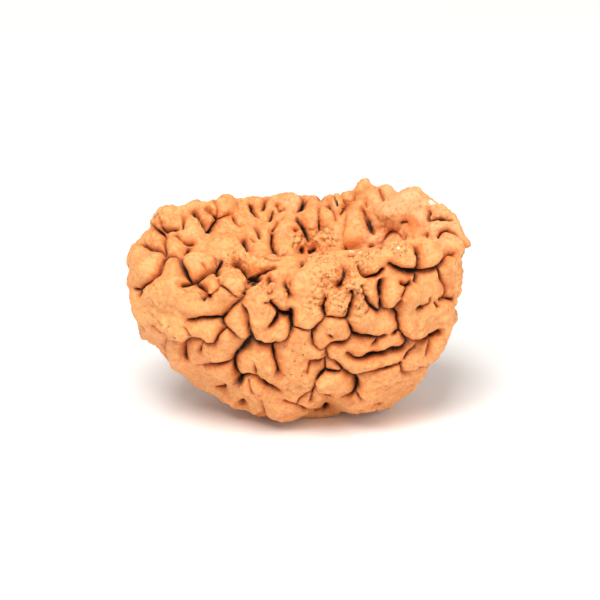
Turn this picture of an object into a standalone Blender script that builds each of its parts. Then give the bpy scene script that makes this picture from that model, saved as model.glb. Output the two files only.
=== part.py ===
"""Rudraksha bead of the half-moon form: one grown stone with a round belly, a trough along its top, and
winding furrows that divide it into rounded lobes all over.

Run with: blender --background --python part.py

The bead lies in its own frame: +X along its length, +Y away from the viewer, +Z up. It rests on a small
flat spot of its belly, and the origin is the middle of the bottom of its bounding box.

The furrows of the near side are drawn by hand on a square grid, as seen by someone who looks down on the
bead at VIEW_TILT. Each point is carried from the eye through the grid onto the body. The far side, which
nobody has drawn, gets lobes of the same sizes, grown round seeded random sites.
"""

import bmesh
import bpy
import numpy as np
from math import cos, pi, radians, sin, sqrt
from mathutils import Vector
from mathutils.bvhtree import BVHTree

MM = 0.001
FAR_AWAY = 1000 * MM

# Driving dimensions
LENGTH = 28.0 * MM
HALF_LENGTH = 0.491 * LENGTH
HALF_THICKNESS = 0.284 * LENGTH
BELLY_DEPTH = 0.493 * LENGTH
BODY_POWER = 2.1
ROUNDING = 0.20
ROUNDING_STEPS = 24
TROUGH_HALF_WIDTH = 0.090 * LENGTH
TROUGH_HALF_LENGTH = 0.36 * LENGTH
TROUGH_MIDDLE = 0.045 * LENGTH
BELLY_LEAN = 4.5 * MM

# The rims and the trough between them at the right and at the left end, which blend at STEP_MIDDLE,
# and the gentler slope of the left end's near side
RIM_HEIGHTS = (3.5 * MM, 2.9 * MM)
BACK_RISES = (0.9 * MM, 1.75 * MM)
TROUGH_DEPTHS = (4.2 * MM, 1.0 * MM)
STEP_MIDDLE = 0.3 * MM
STEP_HALF_LENGTH = 1.6 * MM
RIM_POWER = 3.0
SLOPE_POWER = 1.8
FRONT_BLEND = 0.3

# The flat spot that the bead rests on, and the smoother skin round it
FLAT_SPOT_RISE = 0.40 * MM
FLAT_SPOT_SNAP = 0.05 * MM
FOOT_MIDDLE = 0.3 * MM
FOOT_REACH = 2.3 * MM
FOOT_SMOOTHNESS = 0.85

# The grid that the near side is drawn on, looking down on the bead
GRID_SQUARES_LONG = 344
GRID_SQUARE = LENGTH / GRID_SQUARES_LONG
GRID_CENTRE = (300, 300)
BODY_CENTRE_ON_GRID = (294.5, 262)
VIEW_TILT = radians(24)
EYE_DISTANCE = 300 * MM
SIGHT_ROUNDS = 14
SIGHT_DEPTH = 0.80 * MM
SEEN_FROM_SLOPE = 0.08
SIGHT_CLEARANCE = 0.05 * MM
BORDER_SOFTENING = 12

# Relief of the lobes and furrows. A furrow's size and width grow with its strength: the first number is for
# strength 0 and the second one is added for each step
FURROW_SIZES = (0.3, 0.35)
FURROW_WIDTHS = (0.7, 0.15)
VALLEY_DEPTH = 0.85 * MM
VALLEY_WIDTH = 0.36 * MM
CROWN_HEIGHT = 0.25 * MM
CROWN_REACH = 1.10 * MM

# Furrows of the near side: strength, then the points of the drawing grid that it runs through
LEFT_END = [
    (1.5, [(152, 225), (158, 230), (163, 234), (167, 239), (166, 248), (167, 257)]),
    (2.0, [(139, 250), (145, 248), (151, 250), (158, 253), (165, 256), (168, 260)]),
    (1.0, [(145, 243), (145, 248)]),
    (1.8, [(139, 250), (134, 256), (130, 259)]),
    (2.0, [(168, 260), (175, 260), (181, 262), (184, 264)]),
    (1.5, [(168, 261), (165, 264), (162, 271), (160, 276), (155, 280)]),
    (1.0, [(155, 280), (148, 284), (143, 288)]),
    (1.3, [(138, 288), (143, 290), (142, 296)]),
    (2.8, [(183, 263), (186, 270), (189, 278), (193, 285)]),
    (2.8, [(198, 284), (190, 288), (184, 290)]),
    (1.4, [(184, 262), (186, 256), (189, 251)]),
    (1.6, [(176, 240), (182, 243), (187, 246), (192, 246)]),
    (1.4, [(162, 220), (163, 226), (166, 232), (172, 233), (180, 232)]),
    (1.4, [(184, 220), (184, 232)]),
    (2.0, [(195, 216), (198, 222), (202, 228), (205, 235)]),
    (1.6, [(205, 235), (209, 231), (213, 224), (216, 220), (212, 215), (207, 211)]),
    (1.2, [(216, 220), (221, 217), (228, 215)]),
    (0.9, [(183, 207), (189, 204)]),
    (0.9, [(216, 220), (217, 209), (214, 201)]),
]
LEFT_SHOULDER = [
    (2.0, [(198, 284), (203, 279), (209, 275), (216, 274)]),
    (2.0, [(221, 265), (218, 270), (216, 274), (219, 281)]),
    (0.9, [(217, 269), (215, 260)]),
    (0.7, [(202, 264), (208, 272)]),
    (2.0, [(198, 286), (204, 290), (208, 293), (211, 296)]),
    (0.9, [(219, 281), (220, 288), (216, 292), (211, 295)]),
    (1.1, [(222, 286), (227, 289), (232, 293), (239, 297)]),
    (2.0, [(248, 284), (246, 290), (244, 296), (241, 299)]),
    (3.0, [(237, 268), (241, 274), (245, 279), (248, 284)]),
    (1.5, [(248, 284), (254, 279), (260, 275), (268, 272), (274, 270)]),
    (2.0, [(241, 299), (236, 303), (232, 308), (228, 312), (223, 317)]),
    (1.8, [(223, 317), (218, 316), (211, 316), (203, 315), (199, 317), (190, 319)]),
    (2.0, [(223, 317), (224, 322), (227, 327)]),
    (2.2, [(227, 327), (223, 331), (219, 335), (215, 340)]),
    (1.6, [(227, 327), (233, 331), (240, 334), (250, 337)]),
    (2.0, [(215, 340), (208, 340), (203, 337), (194, 336), (186, 339)]),
    (1.5, [(186, 339), (180, 338), (173, 337), (167, 337)]),
    (0.8, [(167, 337), (163, 333), (159, 329), (154, 325)]),
    (0.7, [(167, 337), (165, 343), (167, 349)]),
    (1.4, [(186, 339), (186, 351), (188, 356)]),
    (1.2, [(204, 340), (202, 349)]),
    (0.8, [(184, 327), (187, 330), (190, 335)]),
]
TROUGH_WALL = [
    (1.8, [(232, 221), (235, 226), (238, 229)]),
    (2.3, [(244, 243), (244, 250), (247, 255), (249, 258)]),
    (1.0, [(249, 258), (263, 258), (268, 262), (278, 263)]),
    (1.5, [(250, 207), (252, 213), (256, 219), (260, 223)]),
    (1.5, [(268, 201), (265, 206), (263, 212)]),
    (1.8, [(272, 215), (271, 222), (270, 227)]),
    (1.3, [(282, 221), (277, 228), (272, 233)]),
    (1.5, [(255, 229), (257, 235), (259, 241)]),
    (0.8, [(250, 239), (254, 243)]),
    (2.3, [(271, 238), (271, 246), (273, 252), (276, 255)]),
    (2.3, [(283, 256), (280, 259), (278, 263)]),
    (1.5, [(294, 231), (295, 232)]),
    (0.9, [(277, 206), (279, 212), (286, 213)]),
    (1.8, [(307, 194), (304, 203), (301, 211), (298, 217)]),
    (1.8, [(297, 222), (302, 228), (305, 235), (307, 241)]),
    (2.8, [(299, 250), (301, 255), (303, 257)]),
    (2.0, [(303, 257), (309, 254), (315, 251)]),
    (1.2, [(321, 196), (321, 206), (319, 218), (319, 230)]),
    (1.6, [(328, 207), (330, 211), (332, 216), (334, 222)]),
    (1.1, [(349, 201), (347, 206), (343, 211), (338, 216)]),
    (0.4, [(347, 210), (346, 218), (345, 228), (344, 238)]),
    (1.2, [(366, 204), (367, 208)]),
    (1.9, [(365, 213), (367, 220), (370, 226), (374, 234)]),
    (1.1, [(378, 190), (381, 196), (384, 201), (385, 205)]),
    (1.0, [(402, 221), (408, 221)]),
    (1.5, [(431, 214), (431, 223), (440, 221), (449, 222)]),
    (1.5, [(415, 239), (415, 242)]),
    (1.1, [(438, 238), (441, 233), (447, 231), (453, 235), (459, 241), (463, 247)]),
    (1.0, [(383, 251), (383, 243), (386, 237), (392, 232), (399, 233), (403, 238)]),
    (1.2, [(350, 259), (353, 259)]),
    (1.2, [(346, 249), (354, 252), (364, 251), (372, 247), (383, 250)]),
]
MIDDLE = [
    (2.2, [(245, 303), (248, 308), (249, 314), (249, 320), (250, 327), (255, 337)]),
    (2.5, [(255, 337), (260, 339), (266, 340), (272, 342)]),
    (2.3, [(272, 342), (280, 337), (286, 334), (290, 330), (292, 325), (291, 318), (291, 309)]),
    (2.3, [(291, 312), (286, 313), (278, 311)]),
    (2.0, [(278, 311), (275, 306), (270, 301), (271, 296)]),
    (1.4, [(270, 301), (265, 302)]),
    (2.0, [(278, 311), (276, 317), (273, 321), (269, 325)]),
    (2.2, [(270, 282), (272, 289)]),
    (2.0, [(286, 286), (288, 291), (288, 294)]),
    (1.8, [(291, 286), (288, 291)]),
    (1.8, [(303, 266), (303, 273)]),
    (2.7, [(254, 333), (246, 342), (241, 347), (237, 352), (235, 358)]),
    (2.3, [(235, 358), (236, 364), (239, 370), (243, 375)]),
    (1.7, [(202, 361), (207, 362), (223, 361), (235, 359)]),
    (2.3, [(272, 342), (274, 354), (275, 359), (278, 368)]),
    (1.1, [(278, 368), (275, 371)]),
    (1.3, [(293, 327), (298, 327), (304, 328), (314, 327)]),
    (2.0, [(314, 327), (318, 322), (325, 317), (324, 311), (323, 306)]),
    (1.2, [(323, 306), (326, 298)]),
    (2.3, [(325, 317), (331, 316), (344, 317), (347, 312), (350, 300), (352, 295), (351, 289)]),
    (2.0, [(344, 317), (347, 320), (350, 326), (351, 331)]),
    (1.2, [(312, 329), (312, 335), (313, 343)]),
    (1.0, [(313, 343), (320, 349), (326, 348)]),
    (1.5, [(326, 353), (326, 348), (330, 343), (335, 341)]),
    (2.0, [(335, 341), (340, 341), (345, 338), (351, 331)]),
    (1.3, [(329, 332), (331, 334)]),
    (2.8, [(344, 273), (344, 276)]),
    (1.8, [(344, 276), (341, 283), (338, 286)]),
    (1.0, [(325, 348), (328, 355), (324, 357)]),
    (1.0, [(310, 360), (318, 360), (324, 357), (325, 363), (325, 369)]),
    (0.9, [(310, 360), (307, 373)]),
]
RIGHT_RIM = [
    (2.6, [(356, 273), (360, 277), (363, 278), (370, 276), (376, 273), (381, 268)]),
    (2.2, [(379, 280), (379, 290), (379, 306)]),
    (2.0, [(415, 250), (416, 258), (415, 268)]),
    (2.5, [(389, 262), (395, 266), (402, 269), (409, 270), (415, 270)]),
    (2.5, [(415, 270), (422, 269), (430, 267), (436, 264), (441, 260), (444, 258), (450, 257)]),
    (1.7, [(436, 266), (438, 278), (441, 284), (442, 290), (441, 296)]),
    (2.3, [(413, 275), (411, 281)]),
    (2.2, [(404, 286), (403, 292), (400, 298), (396, 303), (391, 307)]),
    (2.0, [(391, 306), (386, 305), (380, 306), (375, 308), (370, 305), (366, 300), (364, 295)]),
    (0.9, [(364, 295), (361, 285)]),
    (0.9, [(370, 308), (365, 312)]),
    (1.8, [(400, 284), (404, 286), (408, 283)]),
    (2.0, [(392, 307), (396, 312), (396, 318), (398, 324), (398, 329)]),
    (2.4, [(351, 331), (359, 333), (364, 333), (372, 334), (378, 334), (384, 332)]),
    (2.0, [(377, 336), (374, 340), (372, 341)]),
    (2.8, [(394, 331), (398, 329), (404, 334), (406, 338)]),
    (1.6, [(413, 306), (419, 306)]),
    (0.9, [(419, 306), (425, 304), (428, 301), (428, 297)]),
    (1.1, [(432, 301), (436, 306)]),
    (1.8, [(436, 298), (440, 297), (450, 299)]),
    (1.0, [(451, 296), (452, 307)]),
    (2.0, [(406, 338), (412, 338), (417, 340), (423, 338), (430, 334), (438, 331)]),
    (2.5, [(406, 338), (403, 342), (399, 346), (392, 347), (387, 348), (382, 351), (375, 352)]),
    (2.5, [(375, 352), (368, 353), (361, 356), (354, 356), (350, 354), (346, 351)]),
    (1.5, [(416, 341), (413, 346), (408, 351), (403, 357)]),
    (0.7, [(430, 334), (428, 345), (425, 355)]),
]
BELLY = [
    (1.8, [(399, 361), (393, 363), (385, 366), (376, 368), (370, 369), (362, 371), (354, 372)]),
    (2.5, [(354, 372), (348, 371), (342, 368)]),
    (1.8, [(342, 368), (338, 362), (333, 358), (328, 355)]),
    (1.7, [(342, 368), (338, 370), (330, 370), (325, 369)]),
    (2.0, [(325, 369), (321, 373), (317, 379), (316, 385)]),
    (2.7, [(354, 372), (356, 377), (357, 383)]),
    (1.2, [(399, 361), (401, 371)]),
    (1.5, [(401, 371), (407, 370), (414, 369), (426, 367)]),
    (2.7, [(243, 375), (241, 380), (243, 386), (243, 393), (244, 399)]),
    (1.2, [(241, 383), (233, 383), (226, 385), (219, 384)]),
    (1.7, [(243, 375), (248, 372), (254, 371), (258, 373), (262, 378), (267, 383)]),
    (1.6, [(267, 383), (273, 385), (278, 387)]),
    (1.0, [(250, 378), (252, 388), (256, 394), (262, 400), (266, 407), (264, 414)]),
    (1.0, [(256, 363), (257, 370)]),
    (1.3, [(316, 385), (313, 389), (311, 394), (310, 398)]),
    (1.8, [(316, 385), (322, 390), (328, 394), (334, 396), (341, 395), (353, 391), (357, 383)]),
    (0.8, [(313, 389), (306, 393), (300, 397), (297, 402)]),
    (1.2, [(285, 399), (297, 402), (300, 406), (306, 409), (320, 407), (325, 403)]),
    (2.3, [(324, 405), (327, 401), (329, 398)]),
    (1.5, [(357, 391), (360, 394), (362, 397)]),
    (1.6, [(372, 402), (377, 401)]),
    (0.7, [(388, 390), (388, 384), (394, 382), (399, 379)]),
]
NEAR_FURROWS = LEFT_END + LEFT_SHOULDER + TROUGH_WALL + MIDDLE + RIGHT_RIM + BELLY

# Swells of the near side: where on the grid, how far they reach, how high they stand
RIM_SWELLS = [
    ((365, 203), 0.85 * MM, 1.9 * MM),
    ((390, 204), 1.8 * MM, 1.9 * MM),
    ((398, 203), 1.5 * MM, 1.7 * MM),
    ((414, 205), 2.2 * MM, 2.0 * MM),
    ((440, 214), 2.0 * MM, 2.1 * MM),
    ((449, 214), 1.6 * MM, 0.7 * MM),
    ((455, 228), 1.2 * MM, 0.9 * MM),
    ((334, 203), 1.20 * MM, 1.25 * MM),
    ((294, 200), 1.0 * MM, 0.3 * MM),
    ((264, 202), 2.4 * MM, -0.6 * MM),
    ((229, 202), 1.3 * MM, 0.3 * MM),
    ((198, 210), 2.0 * MM, 0.85 * MM),
    ((169, 214), 1.8 * MM, 0.3 * MM),
    ((351, 199), 0.65 * MM, -0.7 * MM),
    ((324, 199), 0.6 * MM, -0.3 * MM),
    ((278, 202), 0.6 * MM, -0.5 * MM),
    ((215, 203), 0.6 * MM, -0.35 * MM),
    ((399, 260), 1.8 * MM, 1.5 * MM),
    ((428, 259), 1.6 * MM, 1.3 * MM),
    ((451, 253), 1.3 * MM, 0.9 * MM),
]
BELLY_SWELLS = [
    ((457, 252), 1.1 * MM, 0.6 * MM),
    ((464, 251), 0.75 * MM, 0.8 * MM),
    ((462, 232), 1.6 * MM, 0.4 * MM),
    ((448, 335), 2.0 * MM, 0.40 * MM),
    ((134, 300), 2.2 * MM, 0.25 * MM),
    ((136, 252), 1.0 * MM, -0.35 * MM),
    ((196, 389), 2.2 * MM, -0.70 * MM),
    ((141, 333), 1.6 * MM, -0.35 * MM),
    ((395, 398), 1.5 * MM, -0.30 * MM),
    ((458, 300), 1.6 * MM, -0.25 * MM),
    ((214, 399), 2.2 * MM, -0.50 * MM),
    ((334, 418), 2.2 * MM, -1.05 * MM),
    ((428, 368), 1.5 * MM, -0.40 * MM),
    ((275, 410), 2.2 * MM, 0.35 * MM),
    ((251, 276), 0.8 * MM, -0.5 * MM),
    ((264, 264), 0.9 * MM, 0.25 * MM),
    ((363, 196), 0.75 * MM, 0.30 * MM),
    ((360, 209), 0.75 * MM, 0.40 * MM),
    ((357, 223), 0.80 * MM, 0.40 * MM),
    ((354, 237), 0.80 * MM, 0.40 * MM),
]

# Uneven growth
LOBE_SWING = 0.22 * MM
SWING_LENGTH = 3.6 * MM

# Lobes of the far side
SITE_TRIALS = 5000
SITE_SPACING = 2.15 * MM
JOINED_SHARE = 0.5
BOUNDARY_STRENGTHS = (0.7, 2.6)
BOUNDARY_WANDER = 0.42 * MM
WANDER_LENGTH = 2.7 * MM
BLIND_CUTS = 60
CUT_STRENGTHS = (0.8, 1.8)
CUT_POINTS = 4
CUT_STEP = 0.55 * MM
CUT_BEND = 0.5
SEED = 7

# Smooth waviness: how many waves it is made of and how their lengths spread
RIPPLE_WAVES = 20
RIPPLE_SPREAD = (0.6, 1.5)

# Mesh
SPHERE_DIVISIONS = 7
SHORTEST_RUN = 0.001 * MM
BATCH = 20000
VOXEL = 0.13 * MM
SHORTEST_EDGE = 0.03 * MM
TRIANGLES = 11400

# Finish
STONE_COLOUR = (0.80, 0.42, 0.19, 1)
STONE_ROUGHNESS = 0.62


def grid_point(column, row):
    """A point of the drawing grid and the eye that looks through it, in the body's frame."""
    up = Vector((0, sin(VIEW_TILT), cos(VIEW_TILT)))
    towards_eye = Vector((0, -cos(VIEW_TILT), sin(VIEW_TILT)))

    def on_plane(x, y):
        across = x - BODY_CENTRE_ON_GRID[0]
        down = y - BODY_CENTRE_ON_GRID[1]
        return (Vector((across, 0, 0)) - up * down) * GRID_SQUARE

    return on_plane(column, row), on_plane(*GRID_CENTRE) + towards_eye * EYE_DISTANCE


def body_points(directions):
    """The smooth half-moon, its edges rounded: each point is the mean of a ring of points round it."""
    total = np.zeros_like(directions)
    for step in range(ROUNDING_STEPS):
        share = (step + 0.5) / ROUNDING_STEPS
        turn = step * pi * (3 - sqrt(5))
        level = 1 - 2 * share
        side = sqrt(1 - level**2)
        shift = np.array((side * cos(turn), side * sin(turn), level))
        beside = directions + ROUNDING * sqrt(share) * shift
        total += sharp_body_points(beside / np.linalg.norm(beside, axis=1)[:, None])
    return total / ROUNDING_STEPS


def sharp_body_points(directions):
    """A round belly, and above it two rims with a trough between them."""
    fullness = (np.abs(directions) ** BODY_POWER).sum(axis=1) ** (1 / BODY_POWER)
    x, y, z = (directions / fullness[:, None]).T
    points = np.empty_like(directions)
    points[:, 0] = HALF_LENGTH * x
    points[:, 1] = HALF_THICKNESS * y
    left = 0.5 - 0.5 * np.tanh((points[:, 0] - STEP_MIDDLE) / STEP_HALF_LENGTH)
    rim_height, back_rise, trough_depth = (
        right_end + (left_end - right_end) * left
        for right_end, left_end in (RIM_HEIGHTS, BACK_RISES, TROUGH_DEPTHS)
    )
    front = 0.5 - 0.5 * np.tanh(y / FRONT_BLEND)
    rim_power = RIM_POWER + (SLOPE_POWER - RIM_POWER) * left * front
    from_middle = np.abs(x) ** BODY_POWER + np.abs(y) ** BODY_POWER
    rim = np.sqrt(np.clip(1 - from_middle**rim_power, 0, 1))
    points[:, 2] = np.where(z < 0, BELLY_DEPTH * z, (rim_height + back_rise * y) * rim)
    along = (points[:, 0] - TROUGH_MIDDLE) / TROUGH_HALF_LENGTH
    across = points[:, 1] / TROUGH_HALF_WIDTH
    trough = trough_depth * np.exp(-np.abs(across) ** 1.5) / (1 + along**6)
    points[:, 2] -= np.where(z > 0, trough * rim, 0)
    below = np.clip(-z, 0, 1)
    points[:, 0] += BELLY_LEAN * below**4 * np.sqrt(1 - below**2)
    return points


def tree_of(mesh):
    """The search tree of a mesh, for casting rays and finding nearest points."""
    corners = [vertex.co.copy() for vertex in mesh.vertices]
    return BVHTree.FromPolygons(corners, [tuple(face.vertices) for face in mesh.polygons])


def read_vertices(mesh, field="co"):
    values = np.empty(len(mesh.vertices) * 3)
    mesh.vertices.foreach_get(field, values)
    return values.reshape(-1, 3)


def write_vertices(mesh, points):
    mesh.vertices.foreach_set("co", points.ravel())
    mesh.update()


def on_body(tree, column, row):
    """Where the line of sight through a grid point first meets the body."""
    through, eye = grid_point(column, row)
    place, normal, _, _ = tree.ray_cast(eye, (through - eye).normalized())
    if place is None:
        place, normal, _, _ = tree.find_nearest(through)
    return np.array(place), np.array(normal)


def furrow_place(tree, column, row, depth):
    """Where a furrow starts on the smooth body, so that its bottom ends up on the line of sight."""
    through, eye = grid_point(column, row)
    sight = (through - eye).normalized()
    place, normal = (Vector(values) for values in on_body(tree, column, row))
    for _ in range(SIGHT_ROUNDS):
        bottom = place - normal * depth
        on_sight = eye + sight * (bottom - eye).dot(sight)
        place, normal, _, _ = tree.find_nearest(place + on_sight - bottom)
    return np.array(place)


def ripple(points, wavelength, seed):
    """Smooth random waviness of about unit size."""
    chance = np.random.default_rng(seed)
    waves = chance.normal(size=(RIPPLE_WAVES, 3))
    waves /= np.linalg.norm(waves, axis=1)[:, None]
    waves *= 2 * np.pi / wavelength * chance.uniform(*RIPPLE_SPREAD, RIPPLE_WAVES)[:, None]
    phases = chance.uniform(0, 2 * np.pi, RIPPLE_WAVES)
    return np.cos(points @ waves.T + phases).sum(axis=1) / np.sqrt(RIPPLE_WAVES / 2)


def grows_with(strength, steps):
    """A furrow's size or width at this strength."""
    return steps[0] + steps[1] * strength


def furrow_depth(distance, strength):
    """How deep the surface lies beside a furrow: a narrow valley between gently crowned lobes."""
    size = grows_with(strength, FURROW_SIZES)
    width = VALLEY_WIDTH * grows_with(strength, FURROW_WIDTHS)
    crown = np.clip(1 - distance / CROWN_REACH, 0, 1)
    return size * (VALLEY_DEPTH * np.exp(-((distance / width) ** 2)) + CROWN_HEIGHT * crown**2)


def drawn_depth(points, furrows):
    """The deepest that any of the drawn furrows cuts at each point."""
    depth = np.zeros(len(points))
    for strength, places in furrows:
        low = places.min(axis=0) - CROWN_REACH
        high = places.max(axis=0) + CROWN_REACH
        close = np.nonzero(((points > low) & (points < high)).all(axis=1))[0]
        beside = points[close]
        nearest = np.full(len(close), FAR_AWAY)
        for start, end in zip(places, places[1:]):
            run = end - start
            t = np.clip((beside - start) @ run / max(run @ run, SHORTEST_RUN**2), 0, 1)
            nearest = np.minimum(nearest, np.linalg.norm(beside - start - t[:, None] * run, axis=1))
        depth[close] = np.maximum(depth[close], furrow_depth(nearest, strength))
    return depth


def lobe_sites(chance):
    """Places spread evenly over the body, some of which share a lobe with their neighbour."""
    directions = chance.normal(size=(SITE_TRIALS, 3))
    directions /= np.linalg.norm(directions, axis=1)[:, None]
    sites = []
    for place in body_points(directions):
        if all(np.linalg.norm(place - other) > SITE_SPACING for other in sites):
            sites.append(place)
    sites = np.array(sites)
    lobes = np.arange(len(sites))
    for site in np.nonzero(chance.random(len(sites)) < JOINED_SHARE)[0]:
        order = np.argsort(np.linalg.norm(sites - sites[site], axis=1))
        lobes[site] = lobes[order[1]]
    return sites, lobes


def grown_depth(points, chance):
    """How deep the furrows between the far side's lobes cut at each point."""
    sites, lobes = lobe_sites(chance)
    strengths = chance.uniform(*BOUNDARY_STRENGTHS, (len(sites), len(sites)))
    strengths = (strengths + strengths.T) / 2
    wander = np.stack([ripple(points, WANDER_LENGTH, SEED + k) for k in range(3)], axis=1)
    wandered = points + BOUNDARY_WANDER * wander
    depth = np.empty(len(points))
    for first in range(0, len(points), BATCH):
        batch = slice(first, first + BATCH)
        gap = np.linalg.norm(wandered[batch, None] - sites[None], axis=2)
        home = gap.argmin(axis=1)
        rows = np.arange(len(gap))
        own = gap[rows, home]
        gap[lobes[None] == lobes[home][:, None]] = FAR_AWAY
        other = gap.argmin(axis=1)
        apart = np.linalg.norm(sites[other] - sites[home], axis=1)
        to_boundary = (gap[rows, other] ** 2 - own**2) / (2 * apart)
        depth[batch] = furrow_depth(to_boundary, strengths[lobes[home], lobes[other]])
    return depth


def blind_cuts(tree, chance):
    """Short furrows with a dead end, for the far side."""
    cuts = []
    for _ in range(BLIND_CUTS):
        direction = chance.normal(size=(1, 3))
        place = Vector(body_points(direction / np.linalg.norm(direction))[0])
        heading = Vector(chance.normal(size=3)).normalized()
        places = []
        for _ in range(CUT_POINTS):
            place, normal, _, _ = tree.find_nearest(place)
            places.append(np.array(place))
            heading = (heading + CUT_BEND * Vector(chance.normal(size=3))).normalized()
            heading = (heading - normal * heading.dot(normal)).normalized()
            place = place + heading * CUT_STEP
        cuts.append((chance.uniform(*CUT_STRENGTHS), np.array(places)))
    return cuts


def seen_share(mesh, tree):
    """1 where the near side's viewer sees the body, 0 where they don't, with a soft border."""
    eye = grid_point(0, 0)[1]
    seen = np.zeros(len(mesh.vertices))
    for index, vertex in enumerate(mesh.vertices):
        sight = (eye - vertex.co).normalized()
        if vertex.normal.dot(sight) > SEEN_FROM_SLOPE:
            start = vertex.co + vertex.normal * SIGHT_CLEARANCE
            seen[index] = tree.ray_cast(start, sight)[0] is None
    ends = np.empty(len(mesh.edges) * 2, dtype=int)
    mesh.edges.foreach_get("vertices", ends)
    ends = ends.reshape(-1, 2)
    count = np.bincount(ends.ravel(), minlength=len(seen))
    for _ in range(BORDER_SOFTENING):
        total = np.bincount(ends[:, 0], seen[ends[:, 1]], len(seen))
        total += np.bincount(ends[:, 1], seen[ends[:, 0]], len(seen))
        seen = total / count
    return seen


def foot_share(points):
    """1 at the foot that the bead rests on, falling to 0 round it."""
    from_foot = np.hypot(points[:, 0] - FOOT_MIDDLE, points[:, 1]) / FOOT_REACH
    return np.exp(-from_foot * from_foot) * (points[:, 2] < 0)


def shape_bead(mesh):
    """Turn a unit sphere into the bead, in the body's frame."""
    write_vertices(mesh, body_points(read_vertices(mesh)))
    tree = tree_of(mesh)

    points = read_vertices(mesh)
    for swells, upright in ((RIM_SWELLS, True), (BELLY_SWELLS, False)):
        for spot, reach, height in swells:
            place, normal = on_body(tree, *spot)
            direction = np.array((0, 0, 1)) if upright else normal
            away = np.linalg.norm(points - place, axis=1) / reach
            points += (height * np.exp(-away * away))[:, None] * direction
    write_vertices(mesh, points)
    growth = LOBE_SWING * ripple(points, SWING_LENGTH, SEED + 10) * (1 - foot_share(points))
    points += read_vertices(mesh, "normal") * growth[:, None]
    write_vertices(mesh, points)
    tree = tree_of(mesh)
    normals = read_vertices(mesh, "normal")

    drawn = []
    for strength, spots in NEAR_FURROWS:
        depth = SIGHT_DEPTH * grows_with(strength, FURROW_SIZES)
        drawn.append((strength, np.array([furrow_place(tree, *spot, depth) for spot in spots])))
    chance = np.random.default_rng(SEED)
    seen = seen_share(mesh, tree)
    near = drawn_depth(points, drawn)
    far = np.maximum(grown_depth(points, chance), drawn_depth(points, blind_cuts(tree, chance)))
    depth = seen * near + (1 - seen) * far

    depth *= 1 - FOOT_SMOOTHNESS * foot_share(points)
    write_vertices(mesh, points - normals * depth[:, None])


def apply_modifier(thing, name):
    bpy.context.view_layer.objects.active = thing
    bpy.ops.object.modifier_apply(modifier=name)


def even_out(bead):
    """One clean skin of even squares, then fewer triangles where the skin is plain."""
    remesh = bead.modifiers.new("one_skin", "REMESH")
    remesh.mode = "VOXEL"
    remesh.voxel_size = VOXEL
    apply_modifier(bead, "one_skin")
    thinning = bead.modifiers.new("fewer_triangles", "DECIMATE")
    thinning.ratio = TRIANGLES / (2 * len(bead.data.polygons))
    apply_modifier(bead, "fewer_triangles")


def drop_slivers(mesh):
    """Close up the shortest edges, and cap the skin where it would touch itself in one point."""
    tidy = bmesh.new()
    tidy.from_mesh(mesh)
    bmesh.ops.remove_doubles(tidy, verts=tidy.verts, dist=SHORTEST_EDGE)
    bmesh.ops.dissolve_degenerate(tidy, edges=tidy.edges, dist=SHORTEST_EDGE)
    pinched = [vertex for vertex in tidy.verts if not vertex.is_manifold]
    bmesh.ops.delete(tidy, geom=pinched, context="VERTS")
    bmesh.ops.holes_fill(tidy, edges=[edge for edge in tidy.edges if edge.is_boundary])
    bmesh.ops.triangulate(tidy, faces=tidy.faces)
    bmesh.ops.recalc_face_normals(tidy, faces=tidy.faces)
    tidy.to_mesh(mesh)
    tidy.free()


def set_on_ground(mesh):
    """Bring the middle of the underside to the origin and press the lowest lobes flat."""
    points = read_vertices(mesh)
    low = points.min(axis=0)
    high = points.max(axis=0)
    points -= ((low[0] + high[0]) / 2, (low[1] + high[1]) / 2, low[2] + FLAT_SPOT_RISE)
    points[points[:, 2] < FLAT_SPOT_SNAP, 2] = 0
    write_vertices(mesh, points)


def make_stone():
    stone = bpy.data.materials.new("bead_stone")
    stone.use_nodes = True
    surface = stone.node_tree.nodes["Principled BSDF"]
    surface.inputs["Base Color"].default_value = STONE_COLOUR
    surface.inputs["Roughness"].default_value = STONE_ROUGHNESS
    return stone


def main():
    for thing in list(bpy.data.objects):
        bpy.data.objects.remove(thing, do_unlink=True)
    parts = bpy.data.collections.new("rudraksha_bead")
    bpy.context.scene.collection.children.link(parts)

    bpy.ops.mesh.primitive_ico_sphere_add(subdivisions=SPHERE_DIVISIONS, radius=1)
    bead = bpy.context.object
    bead.name = "bead"
    for owner in list(bead.users_collection):
        owner.objects.unlink(bead)
    parts.objects.link(bead)

    shape_bead(bead.data)
    even_out(bead)
    drop_slivers(bead.data)
    set_on_ground(bead.data)
    bead.data.polygons.foreach_set("use_smooth", [True] * len(bead.data.polygons))
    bead.data.materials.clear()
    bead.data.materials.append(make_stone())


main()
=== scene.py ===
import math

import bpy
import numpy as np
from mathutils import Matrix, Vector, noise
from mathutils.bvhtree import BVHTree


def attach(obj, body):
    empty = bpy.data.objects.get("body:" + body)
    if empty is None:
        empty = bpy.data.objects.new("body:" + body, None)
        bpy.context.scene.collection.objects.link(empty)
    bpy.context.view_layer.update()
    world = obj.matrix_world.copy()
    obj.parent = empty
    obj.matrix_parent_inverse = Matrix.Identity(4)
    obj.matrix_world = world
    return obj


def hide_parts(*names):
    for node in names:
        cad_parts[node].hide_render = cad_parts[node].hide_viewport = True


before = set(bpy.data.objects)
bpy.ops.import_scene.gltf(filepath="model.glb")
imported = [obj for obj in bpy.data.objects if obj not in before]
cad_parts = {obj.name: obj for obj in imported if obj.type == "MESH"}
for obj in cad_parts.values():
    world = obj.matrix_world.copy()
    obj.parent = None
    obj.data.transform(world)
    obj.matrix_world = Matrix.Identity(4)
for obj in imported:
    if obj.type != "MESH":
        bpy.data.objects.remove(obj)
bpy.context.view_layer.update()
print("frame loaded, nodes:", len(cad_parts))

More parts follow.
